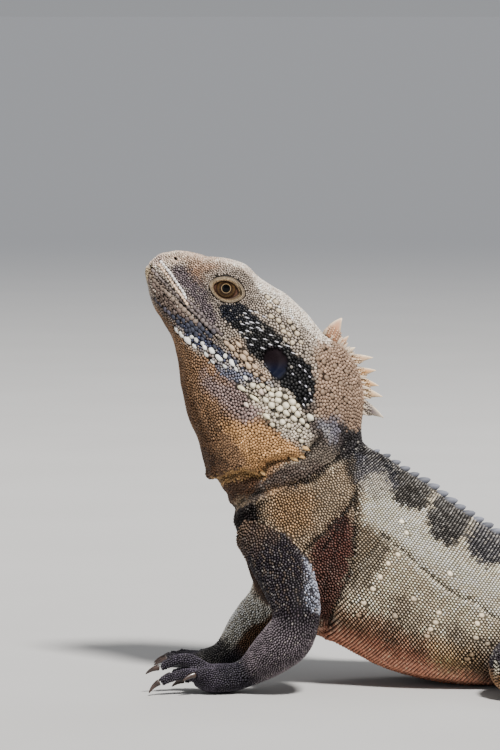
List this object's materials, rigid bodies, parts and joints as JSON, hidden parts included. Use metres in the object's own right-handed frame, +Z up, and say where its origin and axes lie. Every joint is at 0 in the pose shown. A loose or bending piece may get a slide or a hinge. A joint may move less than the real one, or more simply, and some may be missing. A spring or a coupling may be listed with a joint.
{
  "type": "eastern water dragon",
  "caption": "Life-size still model of an eastern water dragon, a crested lizard that rests on the floor with its head raised and its long tail laid out behind it.",
  "frame": {"origin": "middle of the footprint, on the floor that the belly, feet and tail rest on", "axes": "+X towards the tip of the tail, the head faces -X, the animal's left side faces -Y, +Z up"},
  "size_m": [0.7392, 0.2626, 0.1516],
  "materials": {
    "scaly_skin": "dry scaly skin, tan to grey-black",
    "eye": "wet and glossy, golden brown with a round black pupil",
    "claw": "satin horn, dark brown"
  },
  "bodies": {
    "root": {"head": "scaly_skin", "eye_left": "eye", "eye_right": "eye", "neck": "scaly_skin", "torso": "scaly_skin", "tail_1": "scaly_skin", "tail_2": "scaly_skin", "tail_3": "scaly_skin", "tail_4": "scaly_skin", "tail_5": "scaly_skin", "upper_arm_left": "scaly_skin", "forearm_left": "scaly_skin", "hand_left": "scaly_skin", "thigh_left": "scaly_skin", "shin_left": "scaly_skin", "foot_left": "scaly_skin", "claw_hand_left_1": "claw", "claw_foot_left_1": "claw", "claw_hand_left_2": "claw", "claw_foot_left_2": "claw", "claw_hand_left_3": "claw", "claw_foot_left_3": "claw", "claw_hand_left_4": "claw", "claw_foot_left_4": "claw", "claw_hand_left_5": "claw", "claw_foot_left_5": "claw", "upper_arm_right": "scaly_skin", "forearm_right": "scaly_skin", "hand_right": "scaly_skin", "thigh_right": "scaly_skin", "shin_right": "scaly_skin", "foot_right": "scaly_skin", "claw_hand_right_1": "claw", "claw_foot_right_1": "claw", "claw_hand_right_2": "claw", "claw_foot_right_2": "claw", "claw_hand_right_3": "claw", "claw_foot_right_3": "claw", "claw_hand_right_4": "claw", "claw_foot_right_4": "claw", "claw_hand_right_5": "claw", "claw_foot_right_5": "claw"}
  },
  "joints": []
}
